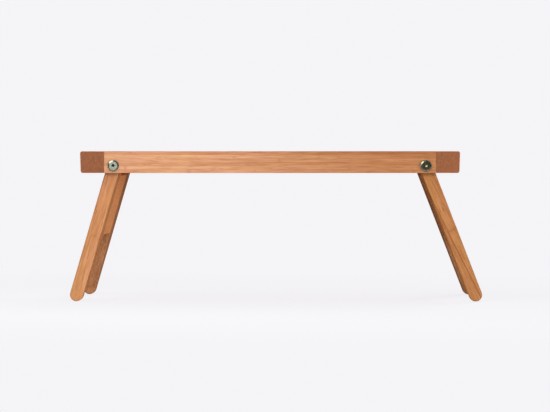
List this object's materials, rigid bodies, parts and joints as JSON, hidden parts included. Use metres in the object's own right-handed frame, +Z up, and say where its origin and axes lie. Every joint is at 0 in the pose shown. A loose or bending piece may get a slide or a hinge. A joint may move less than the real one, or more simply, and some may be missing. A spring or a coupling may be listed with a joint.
{
  "type": "bed tray table",
  "caption": "Low rectangular bamboo bed tray with a shallow rimmed top on two splayed folding leg frames that swing under the tray on bolts.",
  "frame": {"origin": "on the floor, under the middle of the open table", "axes": "+X along the tray's long side to the right, +Y from the front rail to the rear rail, +Z up"},
  "size_m": [0.6634, 0.368, 0.2415],
  "materials": {
    "bamboo_rail": "clear satin lacquer on bamboo",
    "bamboo_end_bar": "clear satin lacquer on bamboo, end grain to the front",
    "bamboo_panel": "clear satin lacquer on bamboo",
    "bamboo_leg": "clear satin lacquer on bamboo",
    "bamboo_crossboard": "clear satin lacquer on bamboo",
    "dowel_wood": "unfinished beech",
    "plated_steel": "zinc plated",
    "washer_steel": "zinc plated",
    "nylon": "natural nylon",
    "brass_alloy": "turned"
  },
  "bodies": {
    "tray": {"tray_panel": "bamboo_panel", "front_rail": "bamboo_rail", "rear_rail": "bamboo_rail", "left_end_bar": "bamboo_end_bar", "right_end_bar": "bamboo_end_bar", "rail_dowels": "dowel_wood"},
    "left_leg_frame": {"left_front_leg_board": "bamboo_leg", "left_rear_leg_board": "bamboo_leg", "left_crossboard": "bamboo_crossboard", "left_pivot_bolts": "plated_steel", "left_head_washers": "washer_steel", "left_leg_spacers": "nylon", "left_threaded_inserts": "brass_alloy"},
    "right_leg_frame": {"right_front_leg_board": "bamboo_leg", "right_rear_leg_board": "bamboo_leg", "right_crossboard": "bamboo_crossboard", "right_pivot_bolts": "plated_steel", "right_head_washers": "washer_steel", "right_leg_spacers": "nylon", "right_threaded_inserts": "brass_alloy"}
  },
  "joints": [
    {"name": "left_leg_fold", "type": "hinge", "parent": "tray", "child": "left_leg_frame", "pos_m": [-0.26074, 0, 0.2182], "axis": [0, -1, 0], "range_deg": [0, 106.24]},
    {"name": "right_leg_fold", "type": "hinge", "parent": "tray", "child": "right_leg_frame", "pos_m": [0.24081, 0, 0.2182], "axis": [0, 1, 0], "range_deg": [0, 111.16]}
  ]
}
